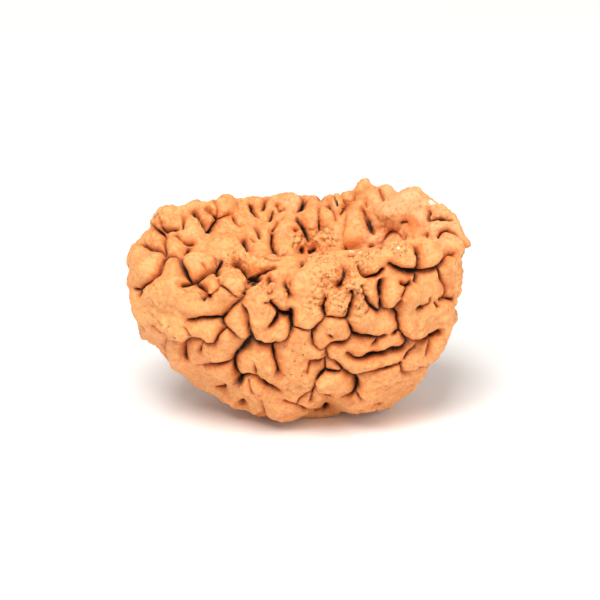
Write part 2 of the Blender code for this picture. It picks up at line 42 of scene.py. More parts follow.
mm = 0.001
farAway = 1000 * mm
shortestRun = 0.001 * mm
pointsAtOnce = 20000  # keeps the memory small

# The bead: one grown stone, a round belly with a trough along its top.
# Where two values stand together, the first is for the right end and the second for the left.
bead = {
    "halfLength": 13.75 * mm,
    "halfThickness": 7.95 * mm,
    "bellyDepth": 13.80 * mm,
    "bodyPower": 2.1,
    "rimPower": 3.0,
    "slopePower": 1.8,
    "frontBlend": 0.3,
    "rimHeight": (3.5 * mm, 2.9 * mm),
    "backRise": (0.9 * mm, 1.75 * mm),
    "troughDepth": (4.2 * mm, 1.0 * mm),
    "stepMiddle": 0.3 * mm,
    "stepHalfLength": 1.6 * mm,
    "troughHalfWidth": 2.52 * mm,
    "troughHalfLength": 10.08 * mm,
    "troughMiddle": 1.26 * mm,
    "rounding": 0.20,
    "roundingSteps": 24,
    "bellyLean": 4.5 * mm,
    "sphereDivisions": 9,
    "quickDivisions": 8,
    "triangles": 196000,
    "flatSpotRise": 0.40 * mm,
    "footMiddle": 0.3 * mm,
    "footReach": 2.0 * mm,
    "footSmoothness": 0.75,
}

# The drawing grid of the near side, as seen by someone who looks down on the bead
grid = {
    "square": 28.0 / 344 * mm,
    "centre": (300, 300),
    "squaresWide": 600,
    "bodyCentre": (294.5, 262),
    "tilt": math.radians(24),
    "eyeDistance": 300 * mm,
    "seenFromSlope": 0.08,
    "clearance": 0.05 * mm,
    "borderSoftening": 24,
}

# How the skin dips at a furrow: a rounded shoulder, a wide crown and a narrow slit.
# The three pairs grow with a furrow's strength: a share at strength 0, and what each step of 1 adds.
furrow = {
    "size": (0.3, 0.35),
    "width": (0.6, 0.25),
    # darkness: how strongly painted shade darkens a furrow's slit
    "darkness": (0.1, 0.55),
    "pieces": 3,
    "sightRounds": 14,
    "sightDepth": 0.80 * mm,
    "shoulderHeight": 0.45 * mm,
    "shoulderReach": 0.50 * mm,
    "shoulderRounds": 5,
    "crownHeight": 0.25 * mm,
    "crownReach": 1.10 * mm,
    "crownRounds": 24,
    "slitDepth": 0.60 * mm,
    "slitHalfWidth": 0.10 * mm,
    "unevenness": 0.15,
    "unevenLength": 2.0 * mm,
    # how far the painted slit shade spreads from a furrow's middle
    "slitShadeReach": 0.13 * mm,
    "crestDepth": 0.50 * mm,
}

# Strength of each furrow, then the grid points that it runs through
leftEnd = [
    (1.5, [(152, 225), (158, 230), (163, 234), (167, 239), (166, 248), (167, 257)]),
    (2.0, [(139, 250), (145, 248), (151, 250), (158, 253), (165, 256), (168, 260)]),
    (1.0, [(145, 243), (145, 248)]),
    (1.8, [(139, 250), (134, 256), (130, 259)]),
    (2.0, [(168, 260), (175, 260), (181, 262), (184, 264)]),
    (1.5, [(168, 261), (165, 264), (162, 271), (160, 276), (155, 280)]),
    (1.0, [(155, 280), (148, 284), (143, 288)]),
    (1.3, [(138, 288), (143, 290), (142, 296)]),
    (2.8, [(183, 263), (186, 270), (189, 278), (193, 285)]),
    (2.8, [(198, 284), (190, 288), (184, 290)]),
    (1.4, [(184, 262), (186, 256), (189, 251)]),
    (1.6, [(176, 240), (182, 243), (187, 246), (192, 246)]),
    (1.4, [(162, 220), (163, 226), (166, 232), (172, 233), (180, 232)]),
    (1.4, [(184, 220), (184, 232)]),
    (2.0, [(195, 216), (198, 222), (202, 228), (205, 235)]),
    (1.6, [(205, 235), (209, 231), (213, 224), (216, 220), (212, 215), (207, 211)]),
    (1.2, [(216, 220), (221, 217), (228, 215)]),
    (0.9, [(183, 207), (189, 204)]),
    (0.9, [(216, 220), (217, 209), (214, 201)]),
]
leftShoulder = [
    (2.0, [(198, 284), (203, 279), (209, 275), (216, 274)]),
    (2.0, [(221, 265), (218, 270), (216, 274), (219, 281)]),
    (0.9, [(217, 269), (215, 260)]),
    (0.7, [(202, 264), (208, 272)]),
    (2.0, [(198, 286), (204, 290), (208, 293), (211, 296)]),
    (0.9, [(219, 281), (220, 288), (216, 292), (211, 295)]),
    (1.1, [(222, 286), (227, 289), (232, 293), (239, 297)]),
    (2.0, [(248, 284), (246, 290), (244, 296), (241, 299)]),
    (3.0, [(237, 268), (241, 274), (245, 279), (248, 284)]),
    (1.5, [(248, 284), (254, 279), (260, 275), (268, 272), (274, 270)]),
    (2.0, [(241, 299), (236, 303), (232, 308), (228, 312), (223, 317)]),
    (1.8, [(223, 317), (218, 316), (211, 316), (203, 315), (199, 317), (190, 319)]),
    (2.0, [(223, 317), (224, 322), (227, 327)]),
    (2.2, [(227, 327), (223, 331), (219, 335), (215, 340)]),
    (1.6, [(227, 327), (233, 331), (240, 334), (250, 337)]),
    (2.0, [(215, 340), (208, 340), (203, 337), (194, 336), (186, 339)]),
    (1.5, [(186, 339), (180, 338), (173, 337), (167, 337)]),
    (0.8, [(167, 337), (163, 333), (159, 329), (154, 325)]),
    (0.7, [(167, 337), (165, 343), (167, 349)]),
    (1.4, [(186, 339), (186, 351), (188, 356)]),
    (1.2, [(204, 340), (202, 349)]),
    (0.8, [(184, 327), (187, 330), (190, 335)]),
]
troughWall = [
    (1.8, [(232, 221), (235, 226), (238, 229)]),
    (2.3, [(244, 243), (244, 250), (247, 255), (249, 258)]),
    (1.0, [(249, 258), (263, 258), (268, 262), (278, 263)]),
    (1.5, [(250, 207), (252, 213), (256, 219), (260, 223)]),
    (1.5, [(268, 201), (265, 206), (263, 212)]),
    (1.8, [(272, 215), (271, 222), (270, 227)]),
    (1.3, [(282, 221), (277, 228), (272, 233)]),
    (1.5, [(255, 229), (257, 235), (259, 241)]),
    (0.8, [(250, 239), (254, 243)]),
    (2.3, [(271, 238), (271, 246), (273, 252), (276, 255)]),
    (2.3, [(283, 256), (280, 259), (278, 263)]),
    (1.5, [(294, 231), (295, 232)]),
    (0.9, [(277, 206), (279, 212), (286, 213)]),
    (1.8, [(307, 194), (304, 203), (301, 211), (298, 217)]),
    (1.8, [(297, 222), (302, 228), (305, 235), (307, 241)]),
    (2.8, [(299, 250), (301, 255), (303, 257)]),
    (2.0, [(303, 257), (309, 254), (315, 251)]),
    (1.2, [(321, 196), (321, 206), (319, 218), (319, 230)]),
    (1.6, [(328, 207), (330, 211), (332, 216), (334, 222)]),
    (1.1, [(349, 201), (347, 206), (343, 211), (338, 216)]),
    (0.4, [(347, 210), (346, 218), (345, 228), (344, 238)]),
    (1.2, [(366, 204), (367, 208)]),
    (1.9, [(365, 213), (367, 220), (370, 226), (374, 234)]),
    (1.1, [(378, 190), (381, 196), (384, 201), (385, 205)]),
    (1.0, [(402, 221), (408, 221)]),
    (1.5, [(431, 214), (431, 223), (440, 221), (449, 222)]),
    (1.5, [(415, 239), (415, 242)]),
    (1.1, [(438, 238), (441, 233), (447, 231), (453, 235), (459, 241), (463, 247)]),
    (1.0, [(383, 251), (383, 243), (386, 237), (392, 232), (399, 233), (403, 238)]),
    (1.2, [(350, 259), (353, 259)]),
    (1.2, [(346, 249), (354, 252), (364, 251), (372, 247), (383, 250)]),
]
middle = [
    (2.2, [(245, 303), (248, 308), (249, 314), (249, 320), (250, 327), (255, 337)]),
    (2.5, [(255, 337), (260, 339), (266, 340), (272, 342)]),
    (2.3, [(272, 342), (280, 337), (286, 334), (290, 330), (292, 325), (291, 318), (291, 309)]),
    (2.3, [(291, 312), (286, 313), (278, 311)]),
    (2.0, [(278, 311), (275, 306), (270, 301), (271, 296)]),
    (1.4, [(270, 301), (265, 302)]),
    (2.0, [(278, 311), (276, 317), (273, 321), (269, 325)]),
    (2.2, [(270, 282), (272, 289)]),
    (2.0, [(286, 286), (288, 291), (288, 294)]),
    (1.8, [(291, 286), (288, 291)]),
    (1.8, [(303, 266), (303, 273)]),
    (2.7, [(254, 333), (246, 342), (241, 347), (237, 352), (235, 358)]),
    (2.3, [(235, 358), (236, 364), (239, 370), (243, 375)]),
    (1.7, [(202, 361), (207, 362), (223, 361), (235, 359)]),
    (2.3, [(272, 342), (274, 354), (275, 359), (278, 368)]),
    (1.1, [(278, 368), (275, 371)]),
    (1.3, [(293, 327), (298, 327), (304, 328), (314, 327)]),
    (2.0, [(314, 327), (318, 322), (325, 317), (324, 311), (323, 306)]),
    (1.2, [(323, 306), (326, 298)]),
    (2.3, [(325, 317), (331, 316), (344, 317), (347, 312), (350, 300), (352, 295), (351, 289)]),
    (2.0, [(344, 317), (347, 320), (350, 326), (351, 331)]),
    (1.2, [(312, 329), (312, 335), (313, 343)]),
    (1.0, [(313, 343), (320, 349), (326, 348)]),
    (1.5, [(326, 353), (326, 348), (330, 343), (335, 341)]),
    (2.0, [(335, 341), (340, 341), (345, 338), (351, 331)]),
    (1.3, [(329, 332), (331, 334)]),
    (2.8, [(344, 273), (344, 276)]),
    (1.8, [(344, 276), (341, 283), (338, 286)]),
    (1.0, [(325, 348), (328, 355), (324, 357)]),
    (1.0, [(310, 360), (318, 360), (324, 357), (325, 363), (325, 369)]),
    (0.9, [(310, 360), (307, 373)]),
]
rightRim = [
    (2.6, [(356, 273), (360, 277), (363, 278), (370, 276), (376, 273), (381, 268)]),
    (2.2, [(379, 280), (379, 290), (379, 306)]),
    (2.0, [(415, 250), (416, 258), (415, 268)]),
    (2.5, [(389, 262), (395, 266), (402, 269), (409, 270), (415, 270)]),
    (2.5, [(415, 270), (422, 269), (430, 267), (436, 264), (441, 260), (444, 258), (450, 257)]),
    (1.7, [(436, 266), (438, 278), (441, 284), (442, 290), (441, 296)]),
    (2.3, [(413, 275), (411, 281)]),
    (2.2, [(404, 286), (403, 292), (400, 298), (396, 303), (391, 307)]),
    (2.0, [(391, 306), (386, 305), (380, 306), (375, 308), (370, 305), (366, 300), (364, 295)]),
    (0.9, [(364, 295), (361, 285)]),
    (0.9, [(370, 308), (365, 312)]),
    (1.8, [(400, 284), (404, 286), (408, 283)]),
    (2.0, [(392, 307), (396, 312), (396, 318), (398, 324), (398, 329)]),
    (2.4, [(351, 331), (359, 333), (364, 333), (372, 334), (378, 334), (384, 332)]),
    (2.0, [(377, 336), (374, 340), (372, 341)]),
    (2.8, [(394, 331), (398, 329), (404, 334), (406, 338)]),
    (1.6, [(413, 306), (419, 306)]),
    (0.9, [(419, 306), (425, 304), (428, 301), (428, 297)]),
    (1.1, [(432, 301), (436, 306)]),
    (1.8, [(436, 298), (440, 297), (450, 299)]),
    (1.0, [(451, 296), (452, 307)]),
    (2.0, [(406, 338), (412, 338), (417, 340), (423, 338), (430, 334), (438, 331)]),
    (2.5, [(406, 338), (403, 342), (399, 346), (392, 347), (387, 348), (382, 351), (375, 352)]),
    (2.5, [(375, 352), (368, 353), (361, 356), (354, 356), (350, 354), (346, 351)]),
    (1.5, [(416, 341), (413, 346), (408, 351), (403, 357)]),
    (0.7, [(430, 334), (428, 345), (425, 355)]),
]
belly = [
    (1.8, [(399, 361), (393, 363), (385, 366), (376, 368), (370, 369), (362, 371), (354, 372)]),
    (2.5, [(354, 372), (348, 371), (342, 368)]),
    (1.8, [(342, 368), (338, 362), (333, 358), (328, 355)]),
    (1.7, [(342, 368), (338, 370), (330, 370), (325, 369)]),
    (2.0, [(325, 369), (321, 373), (317, 379), (316, 385)]),
    (2.7, [(354, 372), (356, 377), (357, 383)]),
    (1.2, [(399, 361), (401, 371)]),
    (1.5, [(401, 371), (407, 370), (414, 369), (426, 367)]),
    (2.7, [(243, 375), (241, 380), (243, 386), (243, 393), (244, 399)]),
    (1.2, [(241, 383), (233, 383), (226, 385), (219, 384)]),
    (1.7, [(243, 375), (248, 372), (254, 371), (258, 373), (262, 378), (267, 383)]),
    (1.6, [(267, 383), (273, 385), (278, 387)]),
    (1.0, [(250, 378), (252, 388), (256, 394), (262, 400), (266, 407), (264, 414)]),
    (1.0, [(256, 363), (257, 370)]),
    (1.3, [(316, 385), (313, 389), (311, 394), (310, 398)]),
    (1.8, [(316, 385), (322, 390), (328, 394), (334, 396), (341, 395), (353, 391), (357, 383)]),
    (0.8, [(313, 389), (306, 393), (300, 397), (297, 402)]),
    (1.2, [(285, 399), (297, 402), (300, 406), (306, 409), (320, 407), (325, 403)]),
    (2.3, [(324, 405), (327, 401), (329, 398)]),
    (1.5, [(357, 391), (360, 394), (362, 397)]),
    (1.6, [(372, 402), (377, 401)]),
    (0.7, [(388, 390), (388, 384), (394, 382), (399, 379)]),
]
nearFurrows = leftEnd + leftShoulder + troughWall + middle + rightRim + belly

# Swells: grid point, reach, height. Those of the rims rise upwards, those of the belly outwards.
rimSwells = [
    ((365, 203), 0.85 * mm, 1.9 * mm),
    ((390, 204), 1.8 * mm, 1.9 * mm),
    ((398, 203), 1.5 * mm, 1.7 * mm),
    ((414, 205), 2.2 * mm, 2.0 * mm),
    ((440, 214), 2.0 * mm, 2.1 * mm),
    ((449, 214), 1.6 * mm, 0.7 * mm),
    ((455, 228), 1.2 * mm, 0.9 * mm),
    ((334, 203), 1.20 * mm, 1.25 * mm),
    ((294, 200), 1.0 * mm, 0.3 * mm),
    ((264, 202), 2.4 * mm, -0.6 * mm),
    ((229, 202), 1.3 * mm, 0.3 * mm),
    ((198, 210), 2.0 * mm, 0.85 * mm),
    ((169, 214), 1.8 * mm, 0.3 * mm),
    ((351, 199), 0.65 * mm, -0.7 * mm),
    ((324, 199), 0.6 * mm, -0.3 * mm),
    ((278, 202), 0.6 * mm, -0.5 * mm),
    ((215, 203), 0.6 * mm, -0.35 * mm),
    ((399, 260), 1.8 * mm, 1.5 * mm),
    ((428, 259), 1.6 * mm, 1.3 * mm),
    ((451, 253), 1.3 * mm, 0.9 * mm),
]
bellySwells = [
    ((457, 252), 1.1 * mm, 0.6 * mm),
    ((464, 251), 0.75 * mm, 0.8 * mm),
    ((462, 232), 1.6 * mm, 0.4 * mm),
    ((448, 335), 2.0 * mm, 0.40 * mm),
    ((134, 300), 2.2 * mm, 0.25 * mm),
    ((136, 252), 1.0 * mm, -0.35 * mm),
    ((196, 389), 2.2 * mm, -0.70 * mm),
    ((141, 333), 1.6 * mm, -0.35 * mm),
    ((395, 398), 1.5 * mm, -0.30 * mm),
    ((458, 300), 1.6 * mm, -0.25 * mm),
    ((214, 399), 2.2 * mm, -0.50 * mm),
    ((334, 418), 2.2 * mm, -1.05 * mm),
    ((428, 368), 1.5 * mm, -0.40 * mm),
    ((275, 410), 2.2 * mm, 0.35 * mm),
    ((251, 276), 0.8 * mm, -0.5 * mm),
    ((264, 264), 0.9 * mm, 0.25 * mm),
    ((363, 196), 0.75 * mm, 0.30 * mm),
    ((360, 209), 0.75 * mm, 0.40 * mm),
    ((357, 223), 0.80 * mm, 0.40 * mm),
    ((354, 237), 0.80 * mm, 0.40 * mm),
]

# Uneven growth, and the lobes of the side that nobody has drawn
growth = {
    "seed": 7,
    "waves": 20,
    "waveSpread": (0.6, 1.5),
    "swing": 0.22 * mm,
    "swingLength": 3.6 * mm,
    "lump": 0.24 * mm,
    "lumpLength": 1.3 * mm,
    "pebble": 0.36 * mm,
    "pebbleLength": 0.48 * mm,
    "grit": 0.60 * mm,
    "gritLength": 0.40 * mm,
    "pebbleMean": 0.7,
    "pebbleShare": 0.6,
    "breaks": (0.95, 0.9),
    "breakLimits": (0.15, 1.1),
    "breakLength": 0.8 * mm,
    "siteTrials": 5000,
    "siteSpacing": 2.15 * mm,
    "joinedShare": 0.5,
    "strengths": (0.7, 2.6),
    "wander": 0.42 * mm,
    "wanderLength": 2.7 * mm,
    "blindCuts": 60,
    "cutStrengths": (0.8, 1.8),
    "cutPoints": 4,
    "cutStep": 0.55 * mm,
    "cutBend": 0.5,
}


def readPoints(mesh, field="co"):
    values = np.empty(len(mesh.vertices) * 3)
    mesh.vertices.foreach_get(field, values)
    return values.reshape(-1, 3)


def writePoints(mesh, points):
    mesh.vertices.foreach_set("co", points.ravel())
    mesh.update()


def writeShare(mesh, name, share):
    mesh.attributes.new(name, "FLOAT", "POINT").data.foreach_set("value", share)


def searchTree(mesh):
    corners = [vertex.co.copy() for vertex in mesh.vertices]
    return BVHTree.FromPolygons(corners, [tuple(face.vertices) for face in mesh.polygons])


# Smooth waviness of about unit size, made of many waves
def ripple(points, wavelength, seed):
    chance = np.random.default_rng(seed)
    waves = chance.normal(size=(growth["waves"], 3))
    waves /= np.linalg.norm(waves, axis=1)[:, None]
    waves *= 2 * np.pi / wavelength * chance.uniform(*growth["waveSpread"], growth["waves"])[:, None]
    phases = chance.uniform(0, 2 * np.pi, growth["waves"])
    return np.cos(points @ waves.T + phases).sum(axis=1) / np.sqrt(growth["waves"] / 2)


# Even noise round zero, mostly within 0.5 of it
def clouds(points, wavelength):
    return np.array([noise.noise(place) for place in (points / wavelength).tolist()])


# Small round bumps, 1 on their tops and falling to about 0 between them
def pebbles(points, wavelength):
    places = (points / wavelength).tolist()
    away = np.array([noise.noise(place, noise_basis="VORONOI_F1") for place in places])
    return 1 - np.clip((away + 1) / 2, 0, 1) ** 2


# A smooth line through drawn points, with more points on it
def smoothLine(spots):
    spots = np.array(spots, dtype=float)
    padded = np.vstack((2 * spots[0] - spots[1], spots, 2 * spots[-1] - spots[-2]))
    line = []
    for before, start, end, after in zip(padded, padded[1:], padded[2:], padded[3:]):
        for t in np.arange(furrow["pieces"]) / furrow["pieces"]:
            bend = (2 * before - 5 * start + 4 * end - after) * t**2
            bend += (3 * start - 3 * end + after - before) * t**3
            line.append(start + 0.5 * ((end - before) * t + bend))
    return line + [spots[-1]]


# A point of the drawing grid, and the eye that looks through it
def gridPoint(column, row):
    up = Vector((0, math.sin(grid["tilt"]), math.cos(grid["tilt"])))
    towardsEye = Vector((0, -math.cos(grid["tilt"]), math.sin(grid["tilt"])))

    def onPlane(x, y):
        across = x - grid["bodyCentre"][0]
        down = y - grid["bodyCentre"][1]
        return (Vector((across, 0, 0)) - up * down) * grid["square"]

    return onPlane(column, row), onPlane(*grid["centre"]) + towardsEye * grid["eyeDistance"]


# The half-moon without its lobes and with its edges rounded, as the mean of points round each direction
def bodyPoints(directions):
    total = np.zeros_like(directions)
    for step in range(bead["roundingSteps"]):
        share = (step + 0.5) / bead["roundingSteps"]
        turn = step * math.pi * (3 - math.sqrt(5))
        level = 1 - 2 * share
        side = math.sqrt(1 - level**2)
        shift = np.array((side * math.cos(turn), side * math.sin(turn), level))
        beside = directions + bead["rounding"] * math.sqrt(share) * shift
        total += sharpBodyPoints(beside / np.linalg.norm(beside, axis=1)[:, None])
    return total / bead["roundingSteps"]


def sharpBodyPoints(directions):
    power = bead["bodyPower"]
    fullness = (np.abs(directions) ** power).sum(axis=1) ** (1 / power)
    x, y, z = (directions / fullness[:, None]).T
    points = np.empty_like(directions)
    points[:, 0] = bead["halfLength"] * x
    points[:, 1] = bead["halfThickness"] * y
    left = 0.5 - 0.5 * np.tanh((points[:, 0] - bead["stepMiddle"]) / bead["stepHalfLength"])
    rimHeight, backRise, troughDepth = (
        bead[name][0] + (bead[name][1] - bead[name][0]) * left
        for name in ("rimHeight", "backRise", "troughDepth")
    )
    front = 0.5 - 0.5 * np.tanh(y / bead["frontBlend"])
    rimPower = bead["rimPower"] + (bead["slopePower"] - bead["rimPower"]) * left * front
    fromMiddle = np.abs(x) ** power + np.abs(y) ** power
    rim = np.sqrt(np.clip(1 - fromMiddle**rimPower, 0, 1))
    points[:, 2] = np.where(z < 0, bead["bellyDepth"] * z, (rimHeight + backRise * y) * rim)
    along = (points[:, 0] - bead["troughMiddle"]) / bead["troughHalfLength"]
    across = points[:, 1] / bead["troughHalfWidth"]
    trough = troughDepth * np.exp(-np.abs(across) ** 1.5) / (1 + along**6)
    points[:, 2] -= np.where(z > 0, trough * rim, 0)
    below = np.clip(-z, 0, 1)
    points[:, 0] += bead["bellyLean"] * below**4 * np.sqrt(1 - below**2)
    return points


# Where the line of sight through a grid point first meets the body
def onBody(tree, column, row):
    through, eye = gridPoint(column, row)
    place, normal, _, _ = tree.ray_cast(eye, (through - eye).normalized())
    if place is None:
        place, normal, _, _ = tree.find_nearest(through)
    return np.array(place), np.array(normal)


# Where a furrow starts on the smooth body, so that its bottom ends up on the line of sight
def furrowPlace(tree, spot, depth):
    through, eye = gridPoint(*spot)
    sight = (through - eye).normalized()
    place, normal = (Vector(part) for part in onBody(tree, *spot))
    for _ in range(furrow["sightRounds"]):
        bottom = place - normal * depth
        onSight = eye + sight * (bottom - eye).dot(sight)
        place, normal, _, _ = tree.find_nearest(place + onSight - bottom)
    return np.array(place)


def swellBody(mesh):
    tree = searchTree(mesh)
    points = readPoints(mesh)
    for swells, upright in ((rimSwells, True), (bellySwells, False)):
        for spot, reach, height in swells:
            place, normal = onBody(tree, *spot)
            direction = np.array((0, 0, 1)) if upright else normal
            away = np.linalg.norm(points - place, axis=1) / reach
            points += (height * np.exp(-away * away))[:, None] * direction
    writePoints(mesh, points)
    rise = growth["swing"] * ripple(points, growth["swingLength"], growth["seed"] + 10)
    writePoints(mesh, points + readPoints(mesh, "normal") * (rise * (1 - footShare(points)))[:, None])


# 1 at the foot that the bead rests on, falling to 0 round it
def footShare(points):
    fromFoot = np.hypot(points[:, 0] - bead["footMiddle"], points[:, 1]) / bead["footReach"]
    return np.exp(-fromFoot * fromFoot) * (points[:, 2] < 0)


# A furrow's size, width or darkness at a strength
def atStrength(name, strength):
    return furrow[name][0] + furrow[name][1] * strength


# Crown, shoulder, slit and painted slit shade of the skin at a distance from a furrow's middle line
def furrowShape(distance, strength):
    size = atStrength("size", strength)
    halfWidth = furrow["slitHalfWidth"] * atStrength("width", strength)
    shoulder = np.clip(1 - (distance - halfWidth) / (furrow["shoulderReach"] * size), 0, 1)
    crown = np.clip(1 - distance / furrow["crownReach"], 0, 1)
    slit = np.clip(1 - distance / halfWidth, 0, 1)
    slitShadeSpread = distance / (furrow["slitShadeReach"] * size)
    slitShade = np.clip(atStrength("darkness", strength), 0, 1) * np.exp(-(slitShadeSpread**2))
    crown = furrow["crownHeight"] * crown**2
    shoulder = furrow["shoulderHeight"] * (1 - np.sqrt(1 - shoulder**2))
    return np.stack((size * crown, size * shoulder, size * furrow["slitDepth"] * slit, slitShade))


def drawnShape(points, furrows):
    shape = np.zeros((4, len(points)))
    for strength, places in furrows:
        low = places.min(axis=0) - furrow["crownReach"]
        high = places.max(axis=0) + furrow["crownReach"]
        close = np.nonzero(((points > low) & (points < high)).all(axis=1))[0]
        beside = points[close]
        uneven = 1 + furrow["unevenness"] * ripple(beside, furrow["unevenLength"], growth["seed"] + 5)
        nearest = np.full(len(close), farAway)
        for start, end in zip(places, places[1:]):
            run = end - start
            t = np.clip((beside - start) @ run / max(run @ run, shortestRun**2), 0, 1)
            nearest = np.minimum(nearest, np.linalg.norm(beside - start - t[:, None] * run, axis=1))
        shape[:, close] = np.maximum(shape[:, close], furrowShape(nearest, strength * uneven))
    return shape


# Evenly spread places, some of which share a lobe with their neighbour
def lobeSites(chance):
    directions = chance.normal(size=(growth["siteTrials"], 3))
    directions /= np.linalg.norm(directions, axis=1)[:, None]
    sites = []
    for place in bodyPoints(directions):
        if all(np.linalg.norm(place - other) > growth["siteSpacing"] for other in sites):
            sites.append(place)
    sites = np.array(sites)
    lobes = np.arange(len(sites))
    for site in np.nonzero(chance.random(len(sites)) < growth["joinedShare"])[0]:
        order = np.argsort(np.linalg.norm(sites - sites[site], axis=1))
        lobes[site] = lobes[order[1]]
    return sites, lobes


def grownShape(points, chance):
    sites, lobes = lobeSites(chance)
    strengths = chance.uniform(*growth["strengths"], (len(sites), len(sites)))
    strengths = (strengths + strengths.T) / 2
    seed = growth["seed"]
    wander = np.stack([ripple(points, growth["wanderLength"], seed + k) for k in range(3)], axis=1)
    wandered = points + growth["wander"] * wander
    shape = np.empty((4, len(points)))
    for first in range(0, len(points), pointsAtOnce):
        batch = slice(first, first + pointsAtOnce)
        gap = np.linalg.norm(wandered[batch, None] - sites[None], axis=2)
        home = gap.argmin(axis=1)
        rows = np.arange(len(gap))
        own = gap[rows, home]
        gap[lobes[None] == lobes[home][:, None]] = farAway
        other = gap.argmin(axis=1)
        apart = np.linalg.norm(sites[other] - sites[home], axis=1)
        toBoundary = (gap[rows, other] ** 2 - own**2) / (2 * apart)
        shape[:, batch] = furrowShape(toBoundary, strengths[lobes[home], lobes[other]])
    return shape


# Short furrows with a dead end
def blindCuts(tree, chance):
    cuts = []
    for _ in range(growth["blindCuts"]):
        direction = chance.normal(size=(1, 3))
        place = Vector(bodyPoints(direction / np.linalg.norm(direction))[0])
        heading = Vector(chance.normal(size=3)).normalized()
        places = []
        for _ in range(growth["cutPoints"]):
            place, normal, _, _ = tree.find_nearest(place)
            places.append(np.array(place))
            heading = (heading + growth["cutBend"] * Vector(chance.normal(size=3))).normalized()
            heading = (heading - normal * heading.dot(normal)).normalized()
            place = place + heading * growth["cutStep"]
        cuts.append((chance.uniform(*growth["cutStrengths"]), np.array(places)))
    return cuts


# Spread values over a mesh, a little further with each round
def spread(mesh, values, rounds):
    ends = np.empty(len(mesh.edges) * 2, dtype=int)
    mesh.edges.foreach_get("vertices", ends)
    ends = ends.reshape(-1, 2)
    count = np.bincount(ends.ravel(), minlength=len(values))
    for _ in range(rounds):
        total = np.bincount(ends[:, 0], values[ends[:, 1]], len(values))
        total += np.bincount(ends[:, 1], values[ends[:, 0]], len(values))
        values = total / count
    return values


# Rounds that spread equally far on a coarser mesh, given for the finest one
def fineRounds(mesh, rounds):
    finest = 10 * 4 ** (bead["sphereDivisions"] - 1)  # points of an icosphere
    return round(rounds * len(mesh.vertices) / finest)


# 1 where the drawing's viewer sees the body, 0 where they don't, with a soft border
def seenShare(mesh, tree):
    eye = gridPoint(0, 0)[1]
    seen = np.zeros(len(mesh.vertices))
    for index, vertex in enumerate(mesh.vertices):
        sight = (eye - vertex.co).normalized()
        if vertex.normal.dot(sight) > grid["seenFromSlope"]:
            start = vertex.co + vertex.normal * grid["clearance"]
            seen[index] = tree.ray_cast(start, sight)[0] is None
    return spread(mesh, seen, fineRounds(mesh, grid["borderSoftening"]))


# Turn a unit sphere into the bead, and note on its skin what the finish needs
def shapeBead(mesh):
    writePoints(mesh, bodyPoints(readPoints(mesh)))
    swellBody(mesh)
    tree = searchTree(mesh)
    points = readPoints(mesh)
    normals = readPoints(mesh, "normal")
    drawn = []
    for strength, spots in nearFurrows:
        depth = furrow["sightDepth"] * atStrength("size", strength)
        drawn.append((strength, np.array([furrowPlace(tree, spot, depth) for spot in smoothLine(spots)])))
    print("body made, furrows laid on it:", len(drawn))

    chance = np.random.default_rng(growth["seed"])
    seen = seenShare(mesh, tree)
    near = drawnShape(points, drawn)
    far = grownShape(points, chance)
    far = np.maximum(far, drawnShape(points, blindCuts(tree, chance)))
    crown, shoulder, slit, slitShade = seen * near + (1 - seen) * far
    usual, change = growth["breaks"]
    breaks = np.clip(usual + change * clouds(points, growth["breakLength"]), *growth["breakLimits"])
    slit *= breaks
    slitShade *= breaks
    depth = spread(mesh, crown, fineRounds(mesh, furrow["crownRounds"])) + slit
    depth += spread(mesh, shoulder, fineRounds(mesh, furrow["shoulderRounds"]))
    print("furrows cut on both sides")

    foot = footShare(points)
    depth *= 1 - bead["footSmoothness"] * foot
    shares = {name: patchShare(points, tree, spots) for name, spots in patches.items()}
    rough = growth["pebbleShare"] + clouds(points, growth["swingLength"])
    rise = growth["lump"] * clouds(points, growth["lumpLength"])
    rise += growth["pebble"] * rough * (pebbles(points, growth["pebbleLength"]) - growth["pebbleMean"])
    rise += growth["grit"] * shares["grit"] * (pebbles(points, growth["gritLength"]) - growth["pebbleMean"])
    writePoints(mesh, points + normals * (rise * (1 - foot) - depth)[:, None])

    # painted shade of the slits, darkest in their middle
    writeShare(mesh, "slitShade", slitShade)
    writeShare(mesh, "crest", np.clip(1 - depth / furrow["crestDepth"], 0, 1))
    for name, share in shares.items():
        writeShare(mesh, name, share)


# Round patches of the skin that look different, each a spot on the drawing grid and a reach
patches = {
    "grit": [
        ((318, 258), 1.6 * mm), ((335, 285), 2.0 * mm), ((360, 262), 1.6 * mm), ((322, 240), 1.4 * mm),
        ((352, 300), 1.6 * mm), ((400, 250), 0.9 * mm), ((300, 240), 0.9 * mm), ((232, 262), 1.4 * mm),
        ((268, 286), 1.1 * mm), ((316, 306), 1.0 * mm),
    ],
    # pores: where the finish paints shade into tiny pits
    "pores": [
        ((160, 308), 2.2 * mm), ((296, 362), 2.4 * mm), ((258, 364), 0.6 * mm), ((180, 330), 1.2 * mm),
    ],
    "paleRim": [
        ((400, 205), 3.2 * mm), ((375, 235), 2.0 * mm), ((440, 225), 2.0 * mm), ((293, 200), 1.0 * mm),
    ],
    "glow": [
        ((353, 240), 0.8 * mm), ((300, 258), 0.5 * mm), ((410, 225), 0.7 * mm), ((250, 272), 0.9 * mm),
    ],
    "flakes": [
        ((432, 202), 0.26 * mm), ((399, 248), 0.20 * mm), ((352, 250), 0.26 * mm), ((360, 251), 0.24 * mm),
    ],
    "smudges": [((464, 256), 0.55 * mm), ((155, 215), 0.35 * mm)],
    "fibres": [
        ((240, 344), 1.5 * mm), ((343, 275), 0.5 * mm), ((413, 270), 0.5 * mm), ((232, 293), 1.0 * mm),
    ],
}


# How much each point belongs to round patches of the drawing grid
def patchShare(points, tree, spots):
    share = np.zeros(len(points))
    for spot, reach in spots:
        away = np.linalg.norm(points - onBody(tree, *spot)[0], axis=1) / reach
        share = np.maximum(share, np.exp(-(away**4)))
    return share


